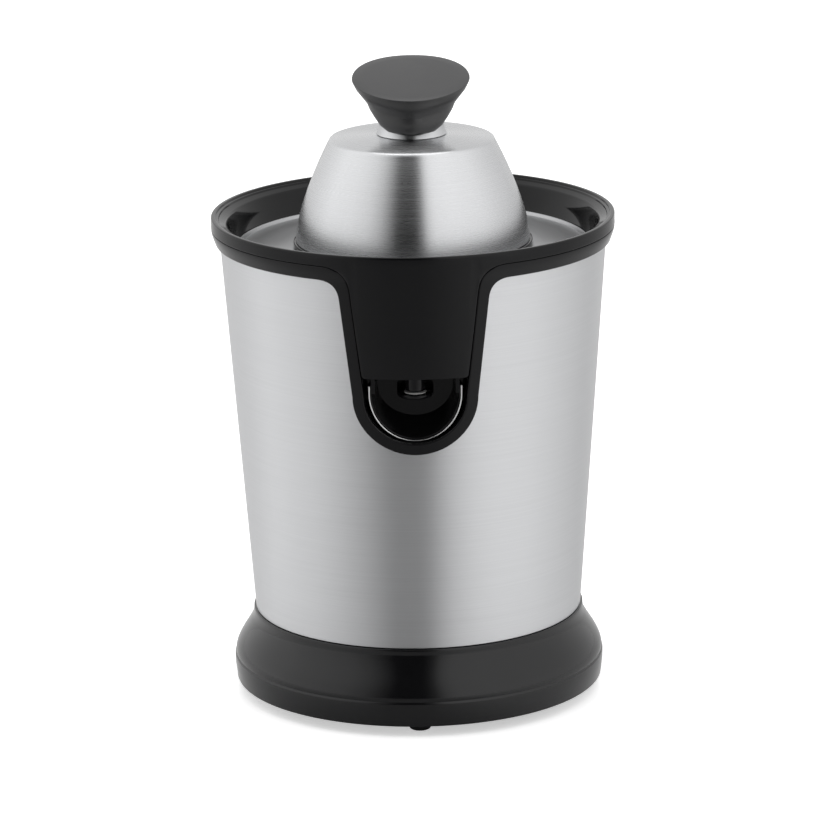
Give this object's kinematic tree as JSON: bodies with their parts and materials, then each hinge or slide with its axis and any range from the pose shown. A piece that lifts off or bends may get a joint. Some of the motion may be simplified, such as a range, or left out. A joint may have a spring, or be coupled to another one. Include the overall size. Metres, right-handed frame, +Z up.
{
  "type": "citrus press juicer",
  "caption": "Electric citrus juicer: round black base, tapered brushed steel body, bowl with front bib and tip-out spout, driven cone under a hand-pressed steel dome.",
  "frame": {"origin": "on the table under the middle of the base", "axes": "+Z up, -Y towards the front with the spout"},
  "size_m": [0.188, 0.188, 0.2993],
  "materials": {
    "brushed_steel": "fine horizontal brushing, satin",
    "gloss_black": "glossy moulded",
    "satin_black": "satin moulded",
    "knob_grey": "soft satin, fine texture",
    "rubber_black": "matte",
    "silicone": "translucent-look satin",
    "nylon": "natural nylon",
    "iron": "laminated, oiled",
    "copper_wire": "enamelled winding",
    "cast_metal": "as cast",
    "brass": "machined",
    "screw_steel": "zinc plated"
  },
  "bodies": {
    "base_unit": {"base_shell": "gloss_black", "bottom_plate": "satin_black", "foot_1": "rubber_black", "foot_2": "rubber_black", "foot_3": "rubber_black", "foot_4": "rubber_black", "foot_5": "rubber_black", "foot_6": "rubber_black", "base_screw_1": "screw_steel", "base_screw_2": "screw_steel", "base_screw_3": "screw_steel", "cord_gland": "rubber_black", "steel_housing": "brushed_steel", "inner_housing": "satin_black", "trim_frame": "gloss_black", "spout_pocket": "gloss_black", "shaft_seal": "silicone", "gearbox_cover": "satin_black", "gearbox_plate": "cast_metal", "gearbox_screw_1": "screw_steel", "gearbox_screw_2": "screw_steel", "gearbox_screw_3": "screw_steel", "motor_stator": "iron", "motor_coil_1": "copper_wire", "motor_coil_2": "copper_wire", "motor_bracket_upper": "cast_metal", "motor_bracket_lower": "cast_metal", "motor_screw_1": "screw_steel", "motor_screw_2": "screw_steel", "shaft_bearing": "brass", "micro_switch": "satin_black", "intermediate_pin": "screw_steel"},
    "output_gear": {"final_gear": "nylon"},
    "pressed_shaft": {"drive_shaft": "screw_steel", "shaft_clip": "screw_steel", "return_spring": "screw_steel"},
    "stage_gear": {"intermediate_gear": "nylon"},
    "rotor": {"motor_rotor": "iron", "rotor_pinion": "brass"},
    "switch_plunger": {"switch_button": "nylon"},
    "bowl": {"juice_bowl": "gloss_black", "spout_pin_1": "screw_steel", "spout_pin_2": "screw_steel"},
    "spout": {"pour_spout": "gloss_black", "spout_lip": "brushed_steel", "spout_seal": "silicone"},
    "filter": {"sieve": "brushed_steel", "sieve_collar": "satin_black"},
    "ring": {"drip_ring": "silicone"},
    "cone": {"drive_sleeve": "nylon", "reamer_cone": "satin_black"},
    "press_dome": {"dome_shell": "brushed_steel", "dome_liner": "gloss_black", "knob_neck": "brushed_steel", "knob": "knob_grey", "knob_screw": "screw_steel"}
  },
  "joints": [
    {"name": "drive_spin", "type": "hinge", "parent": "base_unit", "child": "output_gear", "pos_m": [0, 0, 0.1555], "axis": [0, 0, 1], "continuous": true},
    {"name": "shaft_press", "type": "slide", "parent": "output_gear", "child": "pressed_shaft", "axis": [0, 0, -1], "range_m": [0, 0.0025], "stiffness_N_per_m": 2400, "springref_m": -0.004, "deforming": ["return_spring"]},
    {"name": "intermediate_spin", "type": "hinge", "parent": "base_unit", "child": "stage_gear", "pos_m": [0.02133, 0.02284, 0.1475], "axis": [0, 0, 1], "continuous": true},
    {"name": "rotor_spin", "type": "hinge", "parent": "base_unit", "child": "rotor", "pos_m": [0, 0.03, 0.1075], "axis": [0, 0, 1], "continuous": true},
    {"name": "switch_press", "type": "slide", "parent": "base_unit", "child": "switch_plunger", "axis": [0, 0, -1], "range_m": [0, 0.0025]},
    {"name": "bowl_lift", "type": "slide", "parent": "base_unit", "child": "bowl", "axis": [0, 0, 1], "range_m": [0, 0.12]},
    {"name": "spout_tip", "type": "hinge", "parent": "bowl", "child": "spout", "pos_m": [0, -0.08, 0.1732], "axis": [-1, 0, 0], "range_deg": [0, 40]},
    {"name": "sieve_lift", "type": "slide", "parent": "bowl", "child": "filter", "axis": [0, 0, 1], "range_m": [0, 0.06]},
    {"name": "ring_press", "type": "slide", "parent": "filter", "child": "ring", "axis": [0, 0, -1], "range_m": [0, 0.0025]},
    {"name": "cone_spin", "type": "hinge", "parent": "ring", "child": "cone", "pos_m": [0, 0, 0.2275], "axis": [0, 0, 1], "continuous": true},
    {"name": "dome_lift", "type": "slide", "parent": "filter", "child": "press_dome", "axis": [0, 0, 1], "range_m": [0, 0.08]}
  ],
  "couplings": [
    {"joint": "intermediate_spin", "follows": "rotor_spin", "ratio": -0.25},
    {"joint": "drive_spin", "follows": "rotor_spin", "ratio": 0.0625},
    {"joint": "cone_spin", "follows": "rotor_spin", "ratio": 0.0625},
    {"joint": "switch_press", "follows": "shaft_press", "ratio": 1},
    {"joint": "ring_press", "follows": "shaft_press", "ratio": 1}
  ]
}
